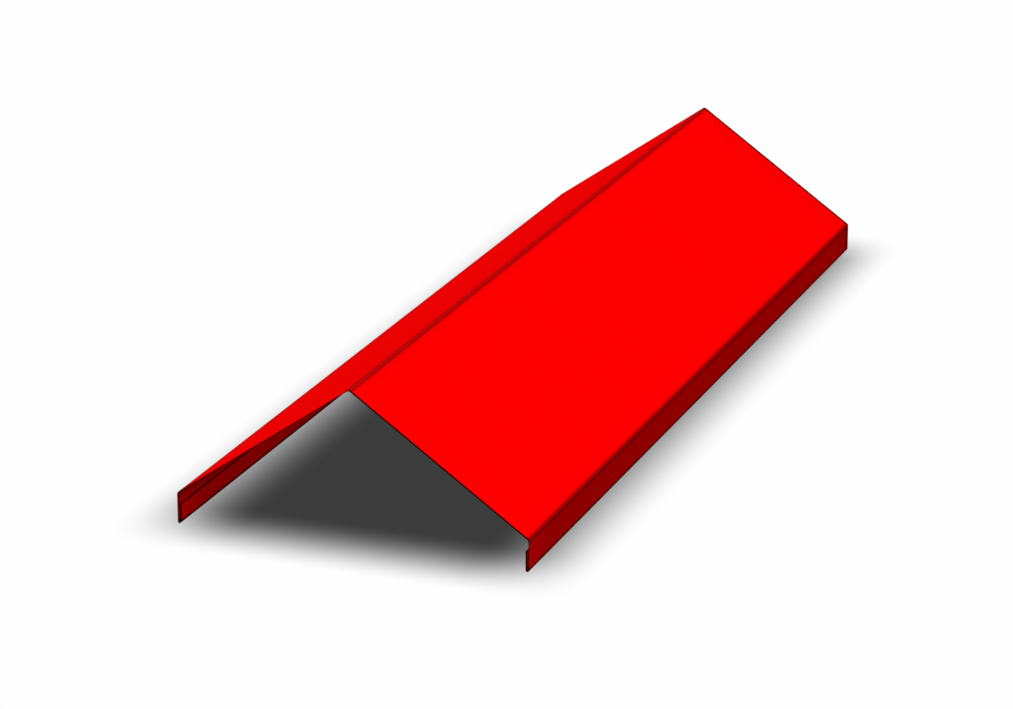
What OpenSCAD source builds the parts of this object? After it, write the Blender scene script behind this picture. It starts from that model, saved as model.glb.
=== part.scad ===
// Ridge cap folded from one strip of pre-painted steel sheet.
// The strip bends once along the ridge and once along each eave, and each eave flange
// ends in an open return hem that is folded inwards and back up.
// All sizes are in millimetres. X runs across the ridge, Y along it and Z up,
// with the middle of the ridge over the origin and the two hems standing on Z = 0.

/* [Sheet] */
// Length of the cap along the ridge
cap_length = 1000; // [200:10:3000]
// Thickness of the coated sheet
sheet_t = 0.6; // [0.4:0.1:1.5]

/* [Ridge] */
// Slope of each wing in degrees
roof_slope = 35; // [10:1:60]
// Width of one wing up its slope, between the sharp outer corners of its two bends
wing_w = 202; // [100:1:400]
// Inside radius of the ridge bend
ridge_bend_r = 3; // [1:0.1:15]

/* [Eaves] */
// Height of the drip flange, from the sharp outer corner of the eave to the hem's bottom
flange_h = 29; // [25:0.5:80]
// Inside radius of the eave bend
eave_bend_r = 3; // [1:0.1:10]

/* [Hems] */
// Height of the turned-up leg of the hem, from its bottom to the cut edge
hem_h = 19; // [8:0.5:20]
// Inside radius of the hem's half round fold, which keeps the hem open
hem_bend_r = 1; // [0.4:0.1:3]

/* [Hidden] */
$fn = 96;

// Angle that the sheet turns through at each eave, and at each hem
eave_bend = 90 - roof_slope;
hem_bend = 180;

// A bend's outer radius, and how far its outer tangent point lies from the sharp corner
function outer_r(bend_r) = bend_r + sheet_t;
function setback(angle, bend_r) = outer_r(bend_r) * tan(angle / 2);

// Flat runs between the bends
wing_flat = wing_w - setback(2 * roof_slope, ridge_bend_r) - setback(eave_bend, eave_bend_r);
flange_flat = flange_h - setback(eave_bend, eave_bend_r) - outer_r(hem_bend_r);
hem_flat = hem_h - outer_r(hem_bend_r);

// Centre of the eave bend: inside the flange's outer face, and over the hem's bottom
eave_centre_x = wing_w * cos(roof_slope) - outer_r(eave_bend_r);
eave_centre_z = outer_r(hem_bend_r) + flange_flat;

// Everything to the left of the Y axis, as far as the reach given
module left_side(reach) {
    translate([-reach, -reach]) square([reach, 2 * reach]);
}

// Everything to the right of the Y axis, as far as the reach given
module right_side(reach) {
    mirror([1, 0]) left_side(reach);
}

// The sheet bent full circle round the origin
module ring(bend_r) {
    difference() {
        circle(r = outer_r(bend_r));
        circle(r = bend_r);
    }
}

// A flat run of sheet with its underside on the X axis. What follows starts at its end.
module flat(run) {
    square([run, sheet_t]);
    translate([run, 0]) children();
}

// A half round bend back under the flat run before it. What follows runs the other way.
module fold_under(bend_r) {
    translate([0, -bend_r]) {
        difference() {
            ring(bend_r);
            left_side(2 * outer_r(bend_r));
        }
        rotate(-hem_bend) translate([0, bend_r]) children();
    }
}

// Half of a bend round the origin, from its middle on the Y axis to where the sheet
// runs straight again. What follows starts there.
module half_bend(angle, bend_r) {
    reach = 2 * outer_r(bend_r);
    difference() {
        rotate(-angle / 2)
            difference() {
                ring(bend_r);
                right_side(reach);
            }
        left_side(reach);
    }
    rotate(-angle / 2) translate([0, bend_r]) children();
}

// Lower half of an eave: down the flange, round the hem and up to its cut edge
module flange_and_hem() {
    half_bend(eave_bend, eave_bend_r)
        flat(flange_flat)
        fold_under(hem_bend_r)
        flat(hem_flat);
}

// Upper half of an eave: up the wing and over the ridge
module wing_and_ridge() {
    half_bend(eave_bend, eave_bend_r)
        flat(wing_flat)
        fold_under(ridge_bend_r);
}

// Right half of the section, drawn both ways from the middle of its eave bend
// and trimmed on the ridge line
module half_section() {
    difference() {
        translate([eave_centre_x, eave_centre_z])
            rotate(-roof_slope - eave_bend / 2) {
                flange_and_hem();
                mirror([1, 0]) wing_and_ridge();
            }
        left_side(2 * wing_w);
    }
}

module folded_sheet() {
    color([0.9, 0, 0])
        rotate([90, 0, 0])
        linear_extrude(height = cap_length, center = true) {
            half_section();
            mirror([1, 0]) half_section();
        }
}

folded_sheet();
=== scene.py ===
import math

import bmesh
import bpy
import numpy as np
from bpy.props import FloatProperty, FloatVectorProperty, IntProperty, PointerProperty
from mathutils import Euler, Matrix, Vector


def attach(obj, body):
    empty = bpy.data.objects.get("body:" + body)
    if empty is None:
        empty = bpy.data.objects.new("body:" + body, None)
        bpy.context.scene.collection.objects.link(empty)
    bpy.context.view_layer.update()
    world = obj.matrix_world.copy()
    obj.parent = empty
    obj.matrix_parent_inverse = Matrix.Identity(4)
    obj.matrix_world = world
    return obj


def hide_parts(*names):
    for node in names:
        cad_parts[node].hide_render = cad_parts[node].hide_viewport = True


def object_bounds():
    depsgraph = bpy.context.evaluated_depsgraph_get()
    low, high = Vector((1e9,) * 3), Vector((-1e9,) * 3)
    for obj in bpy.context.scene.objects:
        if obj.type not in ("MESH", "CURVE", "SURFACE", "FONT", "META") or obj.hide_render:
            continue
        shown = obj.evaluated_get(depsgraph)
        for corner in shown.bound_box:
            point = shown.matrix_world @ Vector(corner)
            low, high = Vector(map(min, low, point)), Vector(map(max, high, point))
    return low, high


bl_info = {
    "name": "Ridge cap",
    "version": (1, 0, 0),
    "blender": (4, 5, 0),
    "location": "3D View > Sidebar > Ridge cap",
    "description": "Folds a ridge cap from a strip of coated sheet and sets up its studio",
    "category": "Object",
}

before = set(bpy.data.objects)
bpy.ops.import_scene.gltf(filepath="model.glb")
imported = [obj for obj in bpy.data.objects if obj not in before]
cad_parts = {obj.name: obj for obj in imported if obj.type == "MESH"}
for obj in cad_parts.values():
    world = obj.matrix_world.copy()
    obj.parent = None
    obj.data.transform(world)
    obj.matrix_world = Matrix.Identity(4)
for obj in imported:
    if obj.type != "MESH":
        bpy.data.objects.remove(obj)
cad_low, cad_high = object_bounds()

MM = 0.001
CAP_LENGTH = cad_high.y - cad_low.y
STRIP_MAP = "strip"  # UV map of the flat strip: across from the ridge's middle, and along


# ---------------------------------------------------------------- sizes and colours


class RidgeCapSizes(bpy.types.PropertyGroup):
    """Sizes of the folded sheet, the same as the CAD model's"""

    cap_length: FloatProperty(
        name="Length", description="Length of the cap along the ridge",
        default=CAP_LENGTH, unit="LENGTH", precision=4,
    )
    sheet_t: FloatProperty(
        name="Sheet", description="Thickness of the coated sheet",
        default=0.6 * MM, unit="LENGTH", precision=5,
    )
    roof_slope: FloatProperty(
        name="Roof slope", description="Slope of each wing",
        default=math.radians(35), subtype="ANGLE",
    )
    wing_w: FloatProperty(
        name="Wing", description="Width of one wing up its slope, between its sharp outer corners",
        default=202 * MM, unit="LENGTH", precision=4,
    )
    ridge_bend_r: FloatProperty(
        name="Ridge bend", description="Inside radius of the ridge bend",
        default=3 * MM, unit="LENGTH", precision=4,
    )
    flange_h: FloatProperty(
        name="Flange", description="Height from the sharp outer corner of the eave to the hem",
        default=29 * MM, unit="LENGTH", precision=4,
    )
    eave_bend_r: FloatProperty(
        name="Eave bend", description="Inside radius of the eave bend",
        default=3 * MM, unit="LENGTH", precision=4,
    )
    hem_h: FloatProperty(
        name="Hem", description="Height of the turned-up leg of the hem",
        default=19 * MM, unit="LENGTH", precision=4,
    )
    hem_bend_r: FloatProperty(
        name="Hem bend", description="Inside radius of the hem's half round fold",
        default=1 * MM, unit="LENGTH", precision=4,
    )
    bend_steps: IntProperty(
        name="Steps", description="Facets in a quarter turn of a bend", default=24, min=4,
    )


class RidgeCapFinish(bpy.types.PropertyGroup):
    """Colours of the coating and of the painted shade and outlines on it, and their widths"""

    coating: FloatVectorProperty(
        name="Coating", description="Colour of the coil coating",
        default=(0.93, 0.0, 0.0), subtype="COLOR", min=0, max=1,
    )
    # Painted shade over the bends: far darker than a stretched coating alone would be
    stretched_and_shaded: FloatVectorProperty(
        name="Stretched coating", description="Duller colour of the coating over a bend",
        default=(0.41, 0.004, 0.004), subtype="COLOR", min=0, max=1,
    )
    # Painted shade lines along both edges of each bend
    shade_line: FloatVectorProperty(
        name="Crease", description="Darker colour of the brake's marks along both edges of a bend",
        default=(0.33, 0.0, 0.0), subtype="COLOR", min=0, max=1,
    )
    # Near-black paint: outline bands along the cap's ends, and painted contact shade on the hem's
    # foot
    outline_and_shade: FloatVectorProperty(
        name="Outline and shade", description="Almost black colour of the coating along ends and hems",
        default=(0.05, 0.0, 0.0), subtype="COLOR", min=0, max=1,
    )
    cut_edge: FloatVectorProperty(
        name="Cut edge", description="Colour of the sheared edge of the sheet",
        default=(0.035, 0.002, 0.002), subtype="COLOR", min=0, max=1,
    )
    # How far the painted shade line reaches into a bend
    crease_w: FloatProperty(
        name="Crease", description="How far the brake's mark reaches into a bend from its edge",
        default=1.25 * MM, unit="LENGTH", precision=5,
    )
    near_band_w: FloatProperty(
        name="Near band", description="Width of the dark band on the coating along the near end",
        default=2 * MM, unit="LENGTH", precision=5,
    )
    far_band_w: FloatProperty(
        name="Far band", description="Width of the dark band on the wings along the far end",
        default=3.8 * MM, unit="LENGTH", precision=5,
    )
    flange_band_w: FloatProperty(
        name="Flange band", description="Width of the dark band on the flanges along the far end",
        default=5.5 * MM, unit="LENGTH", precision=5,
    )
    # Painted shade on the sheet's back along both ends, which darkens the hem's gap
    back_shade_w: FloatProperty(
        name="Back band", description="Width of the dull band along the ends on the sheet's back",
        default=5 * MM, unit="LENGTH", precision=5,
    )
    hem_band_w: FloatProperty(
        name="Hem band", description="Width of the darker band below the hem's cut edge",
        default=1.8 * MM, unit="LENGTH", precision=5,
    )
    # Height of the painted contact shade above the hem's fold
    fold_band_w: FloatProperty(
        name="Fold band", description="How far the dark foot of the hem reaches above its fold",
        default=1.4 * MM, unit="LENGTH", precision=5,
    )
    # How fast the painted shade beside a bend fades
    crease_fade: FloatProperty(
        name="Crease fade", description="Distance from a bend in which its mark fades by half",
        default=1.05 * MM, unit="LENGTH", precision=5,
    )
    # Slower fade of the painted shade on the left wing, so that its lines show darker there
    left_wing_fade: FloatProperty(
        name="Left wing fade", description="The same on the left wing, where the painted shade fades more slowly",
        default=3.5 * MM, unit="LENGTH", precision=5,
    )


class RidgeCapStudio(bpy.types.PropertyGroup):
    """Camera and light of the studio"""

    lens: FloatProperty(
        name="Lens", description="Focal length of the camera in millimetres", default=135.88,
    )
    azimuth: FloatProperty(
        name="Azimuth", description="Camera's turn to the right of the near end",
        default=math.radians(20.5785), subtype="ANGLE",
    )
    elevation: FloatProperty(
        name="Elevation", description="Camera's height over the horizon",
        default=math.radians(18.7145), subtype="ANGLE",
    )
    roll: FloatProperty(
        name="Roll", description="Turn of the camera round its own axis",
        default=math.radians(0.0194), subtype="ANGLE",
    )
    camera_place: FloatVectorProperty(
        name="Place", description="Place of the camera",
        default=(1.21538, -3.35128, 1.22611), subtype="TRANSLATION", unit="LENGTH",
    )
    key: FloatProperty(
        name="Key", description="What the overhead key light adds to a white face turned to it",
        default=0.94, min=0,
    )
    fill: FloatProperty(
        name="Fill", description="What the low fill light adds to a white face turned to it",
        default=0.495, min=0,
    )
    ambient: FloatProperty(
        name="Ambient", description="Brightness of the walls of the studio", default=0.09, min=0,
    )


# ---------------------------------------------------------------- modelling helpers


def start_clean(context):
    """Leave edit mode and deselect everything, the CAD nodes too."""
    if context.mode != "OBJECT":
        bpy.ops.object.mode_set(mode="OBJECT")
    bpy.ops.object.select_all(action="DESELECT")


def select_edges(piece, wanted):
    """Select only those edges of the piece in edit mode whose two ends pass the test."""
    bpy.ops.mesh.select_mode(type="EDGE")
    bpy.ops.mesh.select_all(action="DESELECT")
    shape = bmesh.from_edit_mesh(piece.data)
    for edge in shape.edges:
        edge.select_set(wanted(edge.verts[0].co, edge.verts[1].co))
    bmesh.update_edit_mesh(piece.data)


def apply_modifier(piece, kind, **settings):
    """Add a modifier with these settings and apply it at once."""
    modifier = piece.modifiers.new(kind.title(), kind)
    for name, value in settings.items():
        setattr(modifier, name, value)
    bpy.ops.object.modifier_apply(modifier=modifier.name)


# ---------------------------------------------------------------- the folded sheet


class Strip:
    """Flat runs and bends of the sheet, met in order across the strip on its coated face."""

    def __init__(self, sizes):
        self.turns = {
            "hem": math.pi, "eave": math.pi / 2 - sizes.roof_slope, "ridge": 2 * sizes.roof_slope,
        }
        self.radii = {
            "hem": sizes.hem_bend_r + sizes.sheet_t,
            "eave": sizes.eave_bend_r + sizes.sheet_t,
            "ridge": sizes.ridge_bend_r + sizes.sheet_t,
        }
        setback = {
            bend: self.radii[bend] * math.tan(self.turns[bend] / 2) for bend in ("eave", "ridge")
        }
        self.hem_run = sizes.hem_h - self.radii["hem"]
        self.flange_run = sizes.flange_h - setback["eave"] - self.radii["hem"]
        self.wing_run = sizes.wing_w - setback["ridge"] - setback["eave"]
        self.half_width = sizes.wing_w * math.cos(sizes.roof_slope)
        self.leg_x = self.half_width - 2 * self.radii["hem"]

    def arc(self, bend):
        """Length of the coated face round a bend."""
        return self.radii[bend] * self.turns[bend]

    def marks(self):
        """Distances from the ridge's middle to each end of each flat run, out to the cut edge."""
        names = ("ridge", "eave_top", "eave_low", "hem_low", "hem_leg", "cut")
        eave, hem = self.arc("eave"), self.arc("hem")
        reach = [self.arc("ridge") / 2]
        for step in (self.wing_run, eave, self.flange_run, hem, self.hem_run):
            reach.append(reach[-1] + step)
        return dict(zip(names, reach))


BAYS = 20  # lengths that the strip is divided into along the ridge
SUPPORT = 0.4 * MM  # how far from a bend the flat run has its supporting edge
MERGE_WITHIN = 0.001 * MM  # points closer than this are made one
EDGE_BREAK = 0.05 * MM  # width of the fine bevel along the cut edges
EDGE_BREAK_STEPS = 2  # facets of that bevel
SHARP_TURN = math.radians(60)  # only an edge that turns more than this is broken
SMOOTH_TURN = math.radians(30)  # faces that turn less than this are shaded as one
FIT_SLACK = 0.01 * MM  # how far the folded sheet may end short of the CAD model's side


def fold_strip(strip, sizes):
    """From the first hem's leg, fold the strip bend after bend to the other hem's cut edge."""
    bends = ["hem", "eave", "ridge", "eave", "hem"]
    runs = [strip.flange_run, strip.wing_run, strip.wing_run, strip.flange_run, strip.hem_run]
    heading = -math.pi / 2
    x, z = -strip.leg_x, strip.radii["hem"]
    for bend, run in zip(bends, runs):
        radius, turn = strip.radii[bend], strip.turns[bend]
        centre_x = x + radius * math.sin(heading)
        centre_z = z - radius * math.cos(heading)
        # An even number of facets puts an edge on the middle of each bend
        bpy.ops.mesh.spin(
            steps=2 * math.ceil(sizes.bend_steps * turn / math.pi),
            angle=-turn,
            center=(centre_x, 0, centre_z),
            axis=(0, 1, 0),
        )
        heading -= turn
        x = centre_x - radius * math.sin(heading)
        z = centre_z + radius * math.cos(heading)
        for step in (SUPPORT, run - 2 * SUPPORT, SUPPORT):
            way = Vector((math.cos(heading), 0, math.sin(heading))) * step
            bpy.ops.mesh.extrude_edges_move(TRANSFORM_OT_translate={"value": way})
            x, z = x + way.x, z + way.z


def place_key(co):
    """A point's place in the cap's section, to a hundredth of a millimetre."""
    return round(co.x / MM, 2), round(co.z / MM, 2)


def reach_along_section(mesh):
    """Walk the sheet's near end from one cut edge to the other: each place, and how far it is."""
    near = min(vertex.co.y for vertex in mesh.vertices)
    beside = {}
    for edge in mesh.edges:
        a, b = (mesh.vertices[index].co for index in edge.vertices)
        if abs(a.y - near) < MM and abs(b.y - near) < MM:
            for one, other in (edge.vertices, reversed(edge.vertices)):
                beside.setdefault(one, []).append(other)
    ends = [one for one, others in beside.items() if len(others) == 1]
    here = before = min(ends, key=lambda index: mesh.vertices[index].co.x)
    walked, reach = {}, 0.0
    while here is not None:
        reach += (mesh.vertices[here].co - mesh.vertices[before].co).length
        walked[here] = reach
        before, here = here, next((one for one in beside[here] if one not in walked), None)
    return {place_key(mesh.vertices[index].co): far for index, far in walked.items()}


def unroll(piece):
    """Give each corner its place on the flat strip: across from the ridge's middle, and along."""
    mesh = piece.data
    across = reach_along_section(mesh)
    middle = max(across.values()) / 2
    uv = mesh.uv_layers.active or mesh.uv_layers.new()
    uv.name = STRIP_MAP
    for loop in mesh.loops:
        co = mesh.vertices[loop.vertex_index].co
        uv.data[loop.index].uv = (across[place_key(co)] - middle, co.y)


class RIDGECAP_OT_folded_sheet(bpy.types.Operator):
    """Fold one strip of coated sheet: hem, flange, wing, ridge, wing, flange and hem"""

    bl_idname = "ridge_cap.folded_sheet"
    bl_label = "Folded sheet"

    def execute(self, context):
        sizes = context.scene.ridge_cap_sizes
        strip = Strip(sizes)
        start_clean(context)
        # The first hem's leg stands under the left eave
        bpy.ops.mesh.primitive_plane_add(
            size=1,
            location=(-strip.leg_x, 0, (sizes.hem_h + strip.radii["hem"]) / 2),
            rotation=(0, math.pi / 2, 0),
        )
        piece = context.active_object
        piece.name = piece.data.name = "coated_sheet"
        piece.scale = (strip.hem_run, sizes.cap_length, 1)
        bpy.ops.object.transform_apply(location=True, rotation=True, scale=True)

        bpy.ops.object.mode_set(mode="EDIT")
        select_edges(piece, lambda a, b: abs(a.z - b.z) < MM)
        bpy.ops.mesh.subdivide(number_cuts=BAYS - 1)
        # The strip goes on from the leg's lower edge, where the hem's fold starts
        fold_line = strip.radii["hem"] + MM
        select_edges(piece, lambda a, b: a.z < fold_line and b.z < fold_line)
        fold_strip(strip, sizes)
        bpy.ops.mesh.select_all(action="SELECT")
        bpy.ops.mesh.remove_doubles(threshold=MERGE_WITHIN)
        bpy.ops.mesh.normals_make_consistent(inside=False)
        bpy.ops.object.mode_set(mode="OBJECT")
        top = max(piece.data.polygons, key=lambda face: face.center.z)
        if top.normal.z < 0:
            piece.data.flip_normals()
        unroll(piece)

        # Slot 0 is the coated face, 1 the cut edge and 2 the sheet's back
        piece.data.materials.append(coating_material(context.scene, strip))
        piece.data.materials.append(cut_edge_material(context.scene))
        piece.data.materials.append(coating_material(context.scene, strip, back=True))
        apply_modifier(
            piece, "SOLIDIFY", thickness=sizes.sheet_t, offset=-1,
            use_even_offset=True, material_offset=2, material_offset_rim=1,
        )
        apply_modifier(
            piece, "BEVEL", width=EDGE_BREAK, segments=EDGE_BREAK_STEPS,
            limit_method="ANGLE", angle_limit=SHARP_TURN, material=1,
        )
        bpy.ops.object.shade_smooth_by_angle(angle=SMOOTH_TURN)
        if strip.half_width - max(vertex.co.x for vertex in piece.data.vertices) > FIT_SLACK:
            raise RuntimeError("the folded sheet doesn't reach the CAD model's side")
        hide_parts("folded_sheet")
        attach(piece, "root")
        return {"FINISHED"}


# ---------------------------------------------------------------- materials


class Nodes:
    """Adds nodes to a tree, each with its settings, its plain values and its links."""

    def __init__(self, tree):
        self.tree = tree
        tree.nodes.clear()

    def add(self, kind, values=None, **settings):
        """One node of this kind. A value that is another node's socket is linked."""
        node = self.tree.nodes.new("ShaderNode" + kind)
        for name, value in settings.items():
            setattr(node, name, value)
        for socket, value in (values or {}).items():
            if isinstance(value, bpy.types.NodeSocket):
                self.tree.links.new(value, node.inputs[socket])
            else:
                node.inputs[socket].default_value = value
        return node

    def math(self, operation, a, b=0.0, c=0.0, clamp=False):
        """Result of one sum on up to three numbers."""
        return self.add(
            "Math", {0: a, 1: b, 2: c}, operation=operation, use_clamp=clamp
        ).outputs[0]

    def mix(self, factor, a, b):
        """Colour mix: a where factor is 0, b where it is 1."""
        node = self.add("Mix", data_type="RGBA")
        for name, value in (("Factor_Float", factor), ("A_Color", a), ("B_Color", b)):
            socket = next(one for one in node.inputs if one.identifier == name)
            if isinstance(value, bpy.types.NodeSocket):
                self.tree.links.new(value, socket)
            else:
                socket.default_value = value
        return next(one for one in node.outputs if one.identifier == "Result_Color")

    def step(self, value, start, end, low=0.0, high=1.0):
        """Smooth rise from low at start to high at end."""
        return self.add(
            "MapRange",
            {"Value": value, "From Min": start, "From Max": end, "To Min": low, "To Max": high},
            interpolation_type="SMOOTHSTEP",
        ).outputs[0]

    def within(self, value, low, high):
        """1 between low and high, and 0 outside."""
        return self.math("COMPARE", value, (low + high) / 2, (high - low) / 2)

    def edge_band(self, value, edge, width):
        """1 in the last width before the edge, with a soft inner side."""
        soft = width * BAND_SOFT
        return self.step(value, edge - width - soft, edge - width + soft)

    def blend(self, factor, a, b):
        """Number mix: a where factor is 0, b where it is 1."""
        return self.add("Mix", {0: factor, 2: a, 3: b}, data_type="FLOAT").outputs[0]

    def seen(self):
        """1 for what the camera sees, also in or through something, and 0 for other light."""
        path = self.add("LightPath").outputs
        seen = self.math("MAXIMUM", path["Is Camera Ray"], path["Is Glossy Ray"])
        return self.math("MAXIMUM", seen, path["Is Transmission Ray"])

    def noise(self, coordinates, scale, detail=2.0, roughness=0.5):
        """Soft noise from 0 to 1, with this many cells in a metre."""
        return self.add(
            "TexNoise",
            {"Vector": coordinates, "Scale": scale, "Detail": detail, "Roughness": roughness},
        ).outputs["Fac"]


# Painted shade and outlines on the coating
CREASE_SOFT = (0.6, 1.1)  # parts of its width between which the painted shade line on a bend fades
CREASE_CORE = 0.3 * MM  # width of the painted shade line's darkest part on the flat sheet beside a bend
CORE_SOFT = (0.5, 1.5)  # parts of that width between which it fades
FADED_START = 0.6  # darkness of the fading part where it meets the bend
LEFT_WING_START = 1.0  # the same on the left wing
BAND_SOFT = 0.2  # how soft the inner side of a band is, in its widths
BACK_SHADE = 0.8  # how dark the painted shade gets along the ends on the sheet's back

# Texture of the coating. The scales are in cells a metre.
BROAD_SCALE, BROAD_UNEVEN = 9.0, 0.03  # faint cloudiness of its brightness
FINE_SCALE, FINE_UNEVEN = 420.0, 0.02  # and a finer speckle
COATING_ROUGH = 0.42  # roughness of the flat coating
ROUGH_SPREAD = 0.12  # how much rougher the speckle makes it
BEND_ROUGHER = 0.1  # how much rougher it is over a bend
METAL_SHEEN = 0.06  # the little that the steel shows through
PEEL_SCALE, PEEL_STRENGTH, PEEL_DEPTH = 850.0, 0.25, 0.01 * MM  # orange peel

# Texture of the cut edge
BURR_SCALE, BURR_STRENGTH, BURR_DEPTH = 1500.0, 0.4, 0.02 * MM
BURR_UNEVEN = 0.5  # how much the burr marks vary the edge's brightness
EDGE_ROUGH, EDGE_ROUGH_SPREAD = 0.45, 0.3


def opaque(colour):
    """The colour with full alpha."""
    return (*colour, 1.0)


def stretched_coating(nodes, marks, across):
    """1 over the ridge and the eaves, where the coating is stretched thin and gets painted shade.
    """
    over_ridge = nodes.math("LESS_THAN", across, marks["ridge"])
    over_eave = nodes.within(across, marks["eave_top"], marks["eave_low"])
    return nodes.math("ADD", over_ridge, over_eave, clamp=True)


def painted_shade_lines(nodes, finish, marks, sideways, across, on_bend):
    """Painted shade lines along both edges of each bend, and the dark line below the hem's edge.

    A line is even over the bend itself, and its painted shade fades away on the flat sheet beside
    it."""
    nearest = None
    for name in ("ridge", "eave_top", "eave_low"):
        offset = nodes.math("ABSOLUTE", nodes.math("SUBTRACT", across, marks[name]))
        nearest = offset if nearest is None else nodes.math("MINIMUM", nearest, offset)
    bend_edge_shade = nodes.step(nearest, *(finish.crease_w * part for part in CREASE_SOFT), 1, 0)
    # The left wing gets wider, darker painted shade beside its bends
    on_left_wing = nodes.math("LESS_THAN", sideways, 0)
    half_way = nodes.blend(on_left_wing, finish.crease_fade, finish.left_wing_fade)
    start = nodes.blend(on_left_wing, FADED_START, LEFT_WING_START)
    halvings = nodes.math("DIVIDE", nearest, half_way)
    faded = nodes.math("MULTIPLY", nodes.math("POWER", 0.5, halvings), start)
    core = nodes.step(nearest, *(CREASE_CORE * part for part in CORE_SOFT), 1, 0)
    beside = nodes.math("MAXIMUM", faded, core)
    shade_line = nodes.blend(on_bend, beside, bend_edge_shade)
    hem_edge = nodes.edge_band(across, marks["cut"], finish.hem_band_w)
    return nodes.math("MAXIMUM", shade_line, hem_edge)


def dark_bands(nodes, finish, marks, across, near_way, far_way, cap_half):
    """Painted contact shade on the hem's foot round its fold, and dark painted outline bands along
    the cap's two ends.
    """
    # Painted contact shade on the hem's foot
    foot = nodes.within(
        across, marks["hem_low"] - finish.fold_band_w, marks["hem_leg"] + finish.fold_band_w
    )
    # The flanges have no band at the near end, and a wider one than the wings at the far end
    near_end = nodes.edge_band(near_way, cap_half, finish.near_band_w)
    on_flange = nodes.within(across, marks["eave_low"], marks["hem_low"])
    near_end = nodes.blend(on_flange, near_end, 0.0)
    far_end = nodes.edge_band(far_way, cap_half, finish.far_band_w)
    below_eave = nodes.math("GREATER_THAN", across, marks["eave_low"])
    flange_end = nodes.edge_band(far_way, cap_half, finish.flange_band_w)
    flange_end = nodes.math("MULTIPLY", flange_end, below_eave)
    darkest = foot
    for band in (near_end, far_end, flange_end):
        darkest = nodes.math("MAXIMUM", darkest, band)
    return darkest


def coating_material(scene, strip, back=False):
    """Red coil coating: fine orange peel; painted shade over the bends and in dark lines along
    them, and near-black painted outlines and shade along the ends and the hems.
    """
    finish = scene.ridge_cap_finish
    marks = strip.marks()
    cap_half = scene.ridge_cap_sizes.cap_length / 2
    material = bpy.data.materials.new("red_back_coating" if back else "red_coil_coating")
    material.use_nodes = True
    nodes = Nodes(material.node_tree)
    place = nodes.add("TexCoord").outputs["Object"]
    flat = nodes.add("UVMap", uv_map=STRIP_MAP).outputs["UV"]
    sideways, far_way, _ = nodes.add("SeparateXYZ", {0: flat}).outputs
    across = nodes.math("ABSOLUTE", sideways)
    near_way = nodes.math("MULTIPLY", far_way, -1)

    stretched_and_shaded = stretched_coating(nodes, marks, across)
    shade_line = painted_shade_lines(nodes, finish, marks, sideways, across, stretched_and_shaded)
    outline_and_shade = dark_bands(nodes, finish, marks, across, near_way, far_way, cap_half)
    # Painted shade: darker red over the bends, then dark lines along their edges
    colour = nodes.mix(stretched_and_shaded, opaque(finish.coating), opaque(finish.stretched_and_shaded))
    colour = nodes.mix(shade_line, colour, opaque(finish.shade_line))
    if back:
        # Painted shade along both ends of the sheet's back, darkening the hem's gap
        outmost = nodes.math("MAXIMUM", near_way, far_way)
        back_shade = nodes.edge_band(outmost, cap_half, finish.back_shade_w)
        back_shade = nodes.math("MULTIPLY", back_shade, BACK_SHADE)
        colour = nodes.mix(back_shade, colour, opaque(finish.shade_line))
    # Near-black painted outlines along the ends, and painted shade on the hem's foot
    colour = nodes.mix(outline_and_shade, colour, opaque(finish.outline_and_shade))

    # Faint unevenness of the coating, broad and fine, which is even on the whole
    broad = nodes.noise(place, BROAD_SCALE, 3.0)
    fine = nodes.noise(place, FINE_SCALE, 2.0)
    uneven = nodes.math("MULTIPLY_ADD", fine, FINE_UNEVEN, 1 - (BROAD_UNEVEN + FINE_UNEVEN) / 2)
    uneven = nodes.math("MULTIPLY_ADD", broad, BROAD_UNEVEN, uneven)
    colour = nodes.add("VectorMath", {0: colour, 1: (1, 1, 1), "Scale": uneven}, operation="SCALE")

    rough = nodes.math("MULTIPLY_ADD", fine, ROUGH_SPREAD, COATING_ROUGH)
    rough = nodes.math("MULTIPLY_ADD", stretched_and_shaded, BEND_ROUGHER, rough)
    peel = nodes.noise(place, PEEL_SCALE, 1.0)
    bump = nodes.add("Bump", {"Strength": PEEL_STRENGTH, "Distance": PEEL_DEPTH, "Height": peel})
    shader = nodes.add(
        "BsdfPrincipled",
        {
            "Base Color": colour.outputs["Vector"],
            "Roughness": rough,
            "Metallic": METAL_SHEEN,
            "Specular IOR Level": 0.0,
            "Specular Tint": opaque((1.0, 0.0, 0.0)),
            "Normal": bump.outputs["Normal"],
        },
    )
    nodes.add("OutputMaterial", {"Surface": shader.outputs["BSDF"]})
    return material


def cut_edge_material(scene):
    """Sheared edge of the sheet: dark, with fine burr marks across its thickness."""
    material = bpy.data.materials.new("sheared_sheet_edge")
    material.use_nodes = True
    nodes = Nodes(material.node_tree)
    place = nodes.add("TexCoord").outputs["Object"]
    burr = nodes.noise(place, BURR_SCALE, 3.0, 0.6)
    uneven = nodes.math("MULTIPLY_ADD", burr, BURR_UNEVEN, 1 - BURR_UNEVEN / 2)
    colour = nodes.add(
        "VectorMath", {0: scene.ridge_cap_finish.cut_edge, "Scale": uneven}, operation="SCALE"
    )
    bump = nodes.add("Bump", {"Strength": BURR_STRENGTH, "Distance": BURR_DEPTH, "Height": burr})
    shader = nodes.add(
        "BsdfPrincipled",
        {
            "Base Color": colour.outputs["Vector"],
            "Roughness": nodes.math("MULTIPLY_ADD", burr, EDGE_ROUGH_SPREAD, EDGE_ROUGH),
            "Specular IOR Level": 0.0,
            "Normal": bump.outputs["Normal"],
        },
    )
    nodes.add("OutputMaterial", {"Surface": shader.outputs["BSDF"]})
    return material


# ---------------------------------------------------------------- the stage


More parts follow.
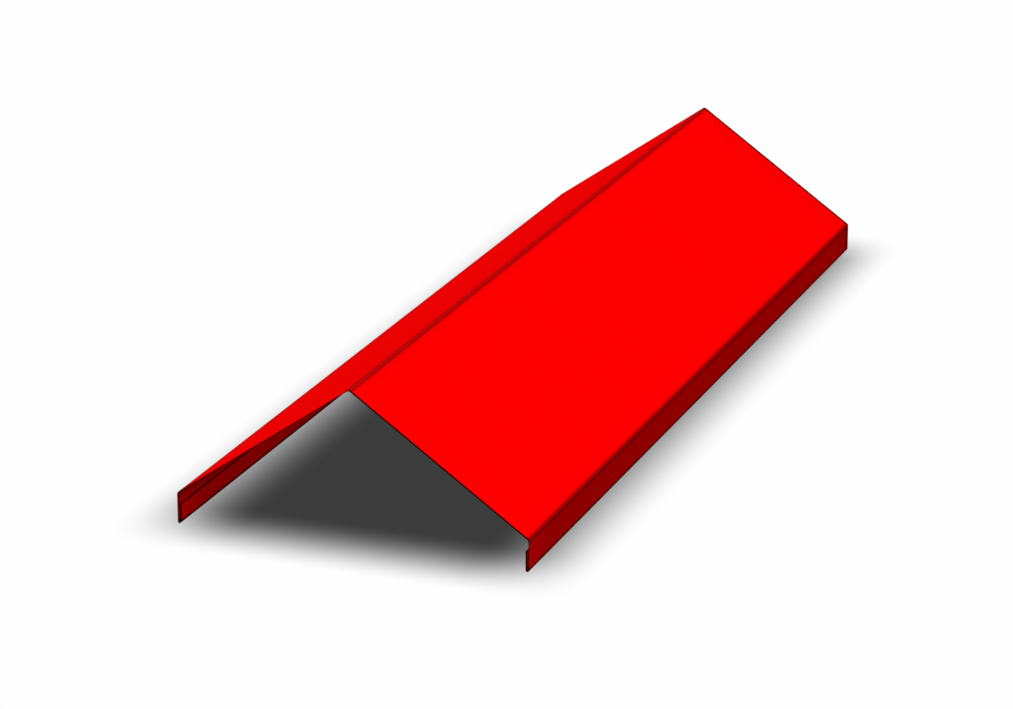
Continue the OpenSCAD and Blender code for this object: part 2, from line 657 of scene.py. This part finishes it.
KEY_FROM, KEY_SPREAD = (0.0, 0.05, 1.0), math.radians(6)  # overhead
FILL_FROM, FILL_SPREAD = (0.35, -0.9, 0.242), math.radians(10)  # low, from the near end
LAMP_AWAY = 5.0  # distance of the lamps, which light the same from any
SENSOR_W = 36.0  # width of the camera's sensor in millimetres

FLOOR_HALF = 40.0  # how far the floor reaches across on both sides
FLOOR_TONE = 0.996  # open floor as the eye sees it, where 1 is white
SCREEN_GAMMA = 2.2  # turns such a tone into a strength of light
FLOOR_BOUNCE = 0.05  # grey that the floor shows to the object, to keep its shade plain
SHADE_STEP = 5 * MM  # spacing of the points at which the object's shade is taken
SHADE_SOFT = 60 * MM  # how far the shade spreads on both sides of the object's outline
SHADE_DEPTH = 0.75  # how much darker the deepest shade looks than the open floor
SHADE_LAYER = "shade"  # the floor's attribute that keeps the shade


def lay_floor(piece):
    """Floor with a fine field under the piece and a wide apron round it."""
    spread = 2 * SHADE_SOFT
    low, high = (
        [pick(corner[axis] for corner in piece.bound_box) for axis in (0, 1)]
        for pick in (min, max)
    )
    counts = [math.ceil((high[axis] - low[axis] + 2 * spread) / SHADE_STEP) for axis in (0, 1)]
    bpy.ops.mesh.primitive_grid_add(
        x_subdivisions=counts[0], y_subdivisions=counts[1], size=1,
        location=((low[0] + high[0]) / 2, (low[1] + high[1]) / 2, 0),
    )
    floor = bpy.context.active_object
    floor.name = "studio_floor"
    floor.scale = (counts[0] * SHADE_STEP, counts[1] * SHADE_STEP, 1)
    bpy.ops.object.transform_apply(location=True, rotation=True, scale=True)
    cast_shade(floor, piece, [count + 1 for count in counts])
    bpy.ops.object.mode_set(mode="EDIT")
    bpy.ops.mesh.select_mode(type="EDGE")
    bpy.ops.mesh.select_all(action="DESELECT")
    bpy.ops.mesh.select_non_manifold()
    bpy.ops.mesh.extrude_edges_move()
    reach = FLOOR_HALF / (counts[0] * SHADE_STEP / 2)
    bpy.ops.transform.resize(value=(reach, reach, 1))
    bpy.ops.object.mode_set(mode="OBJECT")
    return floor


def cast_shade(floor, piece, counts):
    """Keep on the floor's points the shade of the piece straight above them, softened."""
    points = np.array([vertex.co[:2] for vertex in floor.data.vertices])
    cells = np.rint((points - points.min(axis=0)) / SHADE_STEP).astype(int)
    covered = np.zeros(counts)
    for (column, row), (x, y) in zip(cells, points):
        covered[column, row] = piece.ray_cast((x, y, -MM), (0, 0, 1))[0]
    reach = int(SHADE_SOFT / SHADE_STEP)
    weights = 1 - (np.arange(-reach, reach + 1) * SHADE_STEP / SHADE_SOFT) ** 2
    weights /= weights.sum()
    for axis in (0, 1):
        covered = np.apply_along_axis(np.convolve, axis, covered, weights, mode="same")
    layer = floor.data.attributes.new(SHADE_LAYER, "FLOAT", "POINT")
    layer.data.foreach_set("value", covered[cells[:, 0], cells[:, 1]])


def floor_material():
    """Pale floor, plain but for the object's soft shade."""
    material = bpy.data.materials.new("studio_floor")
    material.use_nodes = True
    nodes = Nodes(material.node_tree)
    shade = nodes.add("Attribute", attribute_name=SHADE_LAYER).outputs["Fac"]
    tone = nodes.math("MULTIPLY_ADD", shade, -SHADE_DEPTH, FLOOR_TONE)
    pale = nodes.add("Emission", {"Strength": nodes.math("POWER", tone, SCREEN_GAMMA)})
    bounce = nodes.add("BsdfDiffuse", {"Color": opaque((FLOOR_BOUNCE,) * 3)})
    surface = nodes.add("MixShader", {0: nodes.seen(), 1: bounce.outputs[0], 2: pale.outputs[0]})
    nodes.add("OutputMaterial", {"Surface": surface.outputs[0]})
    return material


def studio_world(scene, ambient):
    """White backdrop for the camera, and soft even light of its own strength on the object."""
    world = bpy.data.worlds.new("studio")
    world.use_nodes = True
    scene.world = world
    nodes = Nodes(world.node_tree)
    strength = nodes.math("MULTIPLY_ADD", nodes.seen(), 1 - ambient, ambient)
    back = nodes.add("Background", {"Color": (1, 1, 1, 1), "Strength": strength})
    nodes.add("OutputWorld", {"Surface": back.outputs[0]})


def add_sun(context, name, brightness, towards, spread):
    """A far soft lamp that stands in the direction given and lights a white face by brightness."""
    bpy.ops.object.light_add(type="SUN", location=Vector(towards) * LAMP_AWAY)
    lamp = context.active_object
    lamp.name = name
    lamp.data.energy = brightness * math.pi
    lamp.data.angle = spread
    lamp.rotation_euler = Vector(towards).to_track_quat("Z", "Y").to_euler()


class RIDGECAP_OT_studio(bpy.types.Operator):
    """Lay the pale floor and set the soft lamps, the white backdrop and the camera"""

    bl_idname = "ridge_cap.studio"
    bl_label = "Studio"

    def execute(self, context):
        scene = context.scene
        studio = scene.ridge_cap_studio
        start_clean(context)
        floor = lay_floor(bpy.data.objects["coated_sheet"])
        floor.data.materials.append(floor_material())
        studio_world(scene, studio.ambient)
        add_sun(context, "key", studio.key, KEY_FROM, KEY_SPREAD)
        add_sun(context, "fill", studio.fill, FILL_FROM, FILL_SPREAD)

        turn = Euler((math.pi / 2 - studio.elevation, 0, studio.azimuth)).to_matrix().to_4x4()
        bpy.ops.object.camera_add()
        camera = context.active_object
        camera.matrix_world = (
            Matrix.Translation(studio.camera_place) @ turn @ Matrix.Rotation(studio.roll, 4, "Z")
        )
        camera.data.lens = studio.lens
        camera.data.sensor_fit = "HORIZONTAL"
        camera.data.sensor_width = SENSOR_W
        scene.camera = camera
        scene.view_settings.view_transform = "Standard"
        return {"FINISHED"}


# ---------------------------------------------------------------- the add-on


class RIDGECAP_PT_panel(bpy.types.Panel):
    """Lists the steps that build the ridge cap and its studio"""

    bl_label = "Ridge cap"
    bl_idname = "RIDGECAP_PT_panel"
    bl_space_type = "VIEW_3D"
    bl_region_type = "UI"
    bl_category = "Ridge cap"

    def draw(self, context):
        layout = self.layout
        for group in GROUPS:
            values = getattr(context.scene, group)
            for name in values.bl_rna.properties.keys():
                if name not in ("rna_type", "name"):
                    layout.prop(values, name)
        layout.operator(RIDGECAP_OT_folded_sheet.bl_idname)
        layout.operator(RIDGECAP_OT_studio.bl_idname)


GROUPS = {
    "ridge_cap_sizes": RidgeCapSizes,
    "ridge_cap_finish": RidgeCapFinish,
    "ridge_cap_studio": RidgeCapStudio,
}
CLASSES = (
    *GROUPS.values(),
    RIDGECAP_OT_folded_sheet,
    RIDGECAP_OT_studio,
    RIDGECAP_PT_panel,
)


def register():
    """Make the classes and the scene's property groups known to Blender."""
    for one in CLASSES:
        bpy.utils.register_class(one)
    for name, group in GROUPS.items():
        setattr(bpy.types.Scene, name, PointerProperty(type=group))


def unregister():
    """Take them out again, last first."""
    for name in GROUPS:
        delattr(bpy.types.Scene, name)
    for one in reversed(CLASSES):
        bpy.utils.unregister_class(one)


def main():
    register()
    bpy.ops.ridge_cap.folded_sheet()
    bpy.ops.ridge_cap.studio()


if __name__ == "__main__":
    main()
